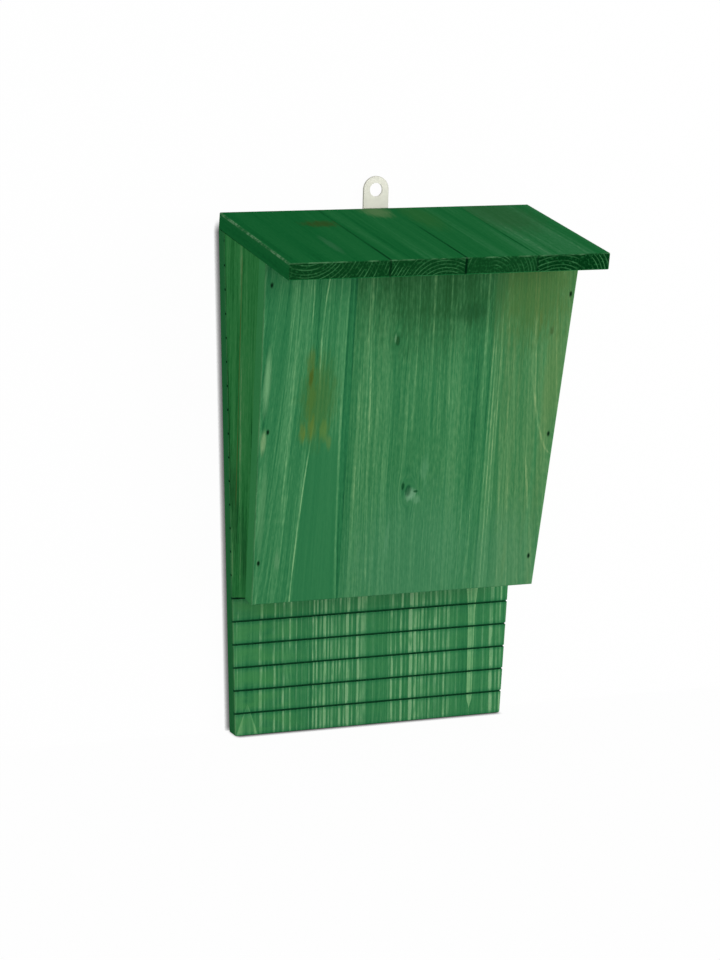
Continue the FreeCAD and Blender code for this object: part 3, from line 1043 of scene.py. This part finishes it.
class BATBOX_OT_screws(bpy.types.Operator):
    """Make the two cross-recessed screws that hold the hanging plate."""

    bl_idname = "batbox.screws"
    bl_label = "Screws"

    def execute(self, context):
        sizes = context.scene.batbox_screws
        low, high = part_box("hanging_screws")
        head_radius = high.x
        points, quads, triangles = screw_shell(sizes, head_radius, high.y - low.y)
        shells = []
        for z in (low.z + head_radius, high.z - head_radius):
            placed = np.stack([points[:, 0], high.y - points[:, 2], z + points[:, 1]], -1)
            shells.append((placed, quads, triangles))
        shade = context.scene.batbox_steel.screw
        material = steel_material("plated_screw", shade, 0.36, 0.9, 600.0)
        piece = mesh_piece("cross_head_screws", shells, material)
        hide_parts("hanging_screws")
        return {"FINISHED"}


class BATBOX_OT_stage(bpy.types.Operator):
    """Set the pale floor, the soft light and the camera."""

    bl_idname = "batbox.stage"
    bl_label = "Stage"

    def execute(self, context):
        looks = context.scene.batbox_stage
        set_backdrop()
        set_world(context.scene, looks.ambient)
        set_key_lamp(looks.key_power)
        set_camera(context.scene, looks)
        context.scene.view_settings.view_transform = "Standard"
        return {"FINISHED"}


def seen_directly(sheet):
    """1 for rays that show the backdrop, straight or in metal or glass, else 0."""
    path = sheet.add("LightPath")
    kinds = ("Is Camera Ray", "Is Glossy Ray", "Is Transmission Ray")
    straight, glossy, through = [sheet.value(path, kind) for kind in kinds]
    return sheet.math("MAXIMUM", straight, sheet.math("MAXIMUM", glossy, through))


def backdrop_material(name, reach, power, axis, low, high):
    """White that keeps the object's shadow, close to it, and shows from one side only.

    The shadow is the ambient occlusion within a reach, raised to a power. It fades out
    between low and high along an axis, on both sides of the middle for x.
    """
    material, shader, sheet = new_material(name)
    shader.inputs["Base Color"].default_value = (0.86, 0.86, 0.86, 1.0)
    shader.inputs["Roughness"].default_value = 0.9
    shader.inputs["Specular IOR Level"].default_value = 0.0
    open_air = sheet.add("AmbientOcclusion", samples=16)
    open_air.inputs["Distance"].default_value = reach
    shade = 1 - sheet.math("POWER", sheet.value(open_air, "AO"), power)
    where = sheet.parts(sheet.coordinates("Object"))[axis]
    beside = (where if axis else abs(where)).fall(low, high)
    glow = sheet.add("Emission")
    sheet.feed(1 - shade * beside, glow.inputs["Strength"])
    lit = sheet.add(
        "MixShader", seen_directly(sheet) * 0.98, sheet.value(shader), sheet.value(glow))
    behind = sheet.value(sheet.add("NewGeometry"), "Backfacing")
    clear = sheet.value(sheet.add("BsdfTransparent"))
    sided = sheet.add("MixShader", behind, sheet.value(lit), clear)
    output = next(node for node in sheet.tree.nodes if node.type == "OUTPUT_MATERIAL")
    sheet.feed(sheet.value(sided), output.inputs["Surface"])
    return material


def set_sheet(name, low, high, material):
    """A flat part of the stage between two corners, which faces up or to the front."""
    (left, near, foot), (right, far, top) = low, high
    mesh = bpy.data.meshes.new(name)
    mesh.from_pydata(
        [(left, near, foot), (right, near, foot), (right, far, top), (left, far, top)],
        [], [(0, 1, 2, 3)])
    mesh.materials.append(material)
    piece = bpy.data.objects.new(name, mesh)
    bpy.context.scene.collection.objects.link(piece)
    piece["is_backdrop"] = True
    return piece


def set_backdrop():
    """A wide white floor, and the wall just behind the box, which only the camera sees."""
    far, behind = 6.0, CAD_BOX[1].y + 0.0005
    white = backdrop_material("floor", 0.0055, 3.0, 0, 0.0935, 0.099)
    floor = set_sheet("floor", (-far, -far, FOOT), (far, far, FOOT), white)
    floor.visible_shadow = False
    white = backdrop_material("wall", 0.0048, 7.0, 2, -0.026, -0.014)
    wall = set_sheet("wall", (-far, behind, FOOT), (far, behind, far), white)
    wall.visible_diffuse = False
    wall.visible_glossy = False
    wall.visible_transmission = False
    wall.visible_shadow = False


def set_world(scene, ambient):
    """Even light from all round, in front of a white backdrop."""
    world = bpy.data.worlds.new("studio")
    world.use_nodes = True
    scene.world = world
    sheet = Sheet(world.node_tree)
    background = next(node for node in world.node_tree.nodes if node.type == "BACKGROUND")
    background.inputs["Color"].default_value = (1.0, 1.0, 1.0, 1.0)
    strength = seen_directly(sheet) * (1.0 - ambient) + ambient
    sheet.feed(strength, background.inputs["Strength"])


def direction(turn, rise):
    """A step of length 1, turned from +y towards +x and then raised."""
    return Vector((
        math.sin(turn) * math.cos(rise), math.cos(turn) * math.cos(rise), math.sin(rise)))


def set_key_lamp(power):
    """A large soft lamp in front, to the right and above."""
    lamp = bpy.data.lights.new("key", "AREA")
    lamp.shape = "DISK"
    lamp.size = 2.2
    lamp.energy = power
    key = bpy.data.objects.new("key", lamp)
    turn, rise, reach = math.radians(140), math.radians(7), 2.6
    away = direction(turn, rise)
    key.location = Vector((0.0, -0.06, -0.18)) + reach * away
    key.rotation_mode = "QUATERNION"
    key.rotation_quaternion = (-away).to_track_quat("-Z", "Y")
    bpy.context.scene.collection.objects.link(key)


def set_camera(scene, looks):
    """The camera, turned by azimuth, drop and roll."""
    azimuth, drop, roll = looks.camera_azimuth, looks.camera_drop, looks.camera_roll
    ahead = direction(azimuth, -drop)
    level = Vector((math.cos(azimuth), -math.sin(azimuth), 0.0))
    above = level.cross(ahead)
    right = level * math.cos(roll) + above * math.sin(roll)
    up = above * math.cos(roll) - level * math.sin(roll)
    data = bpy.data.cameras.new("camera")
    data.sensor_width = 36.0
    data.lens = looks.lens
    camera = bpy.data.objects.new("camera", data)
    turn = Matrix((right, up, -ahead)).transposed()
    camera.matrix_world = Matrix.Translation(looks.camera_place) @ turn.to_4x4()
    scene.collection.objects.link(camera)
    scene.camera = camera


OPERATORS = (
    BATBOX_OT_front, BATBOX_OT_back, BATBOX_OT_roof, BATBOX_OT_sides,
    BATBOX_OT_plate, BATBOX_OT_nails, BATBOX_OT_screws, BATBOX_OT_stage,
)


class BATBOX_PT_sidebar(bpy.types.Panel):
    """Lists the steps that dress the bat box."""

    bl_idname = "BATBOX_PT_sidebar"
    bl_label = "Bat Box"
    bl_space_type = "VIEW_3D"
    bl_region_type = "UI"
    bl_category = "Bat Box"

    def draw(self, context):
        for operator in OPERATORS:
            self.layout.operator(operator.bl_idname)


PROPERTIES = {
    "batbox_stain": StainLooks,
    "batbox_roof": RoofLooks,
    "batbox_side": SideLooks,
    "batbox_steel": SteelLooks,
    "batbox_screws": ScrewSizes,
    "batbox_stage": StageLooks,
}


def register():
    for kind in (*PROPERTIES.values(), *OPERATORS, BATBOX_PT_sidebar):
        bpy.utils.register_class(kind)
    for name, kind in PROPERTIES.items():
        setattr(bpy.types.Scene, name, PointerProperty(type=kind))


def unregister():
    for name in PROPERTIES:
        delattr(bpy.types.Scene, name)
    for kind in (BATBOX_PT_sidebar, *reversed(OPERATORS), *reversed(tuple(PROPERTIES.values()))):
        bpy.utils.unregister_class(kind)


def main():
    register()
    bpy.ops.batbox.front()
    bpy.ops.batbox.back()
    bpy.ops.batbox.roof()
    bpy.ops.batbox.sides()
    bpy.ops.batbox.plate()
    bpy.ops.batbox.nails()
    bpy.ops.batbox.screws()
    bpy.ops.batbox.stage()
    sizes = {"cad": [list(corner) for corner in CAD_BOX],
             "visual": [list(corner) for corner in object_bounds()]}


if __name__ == "__main__":
    main()
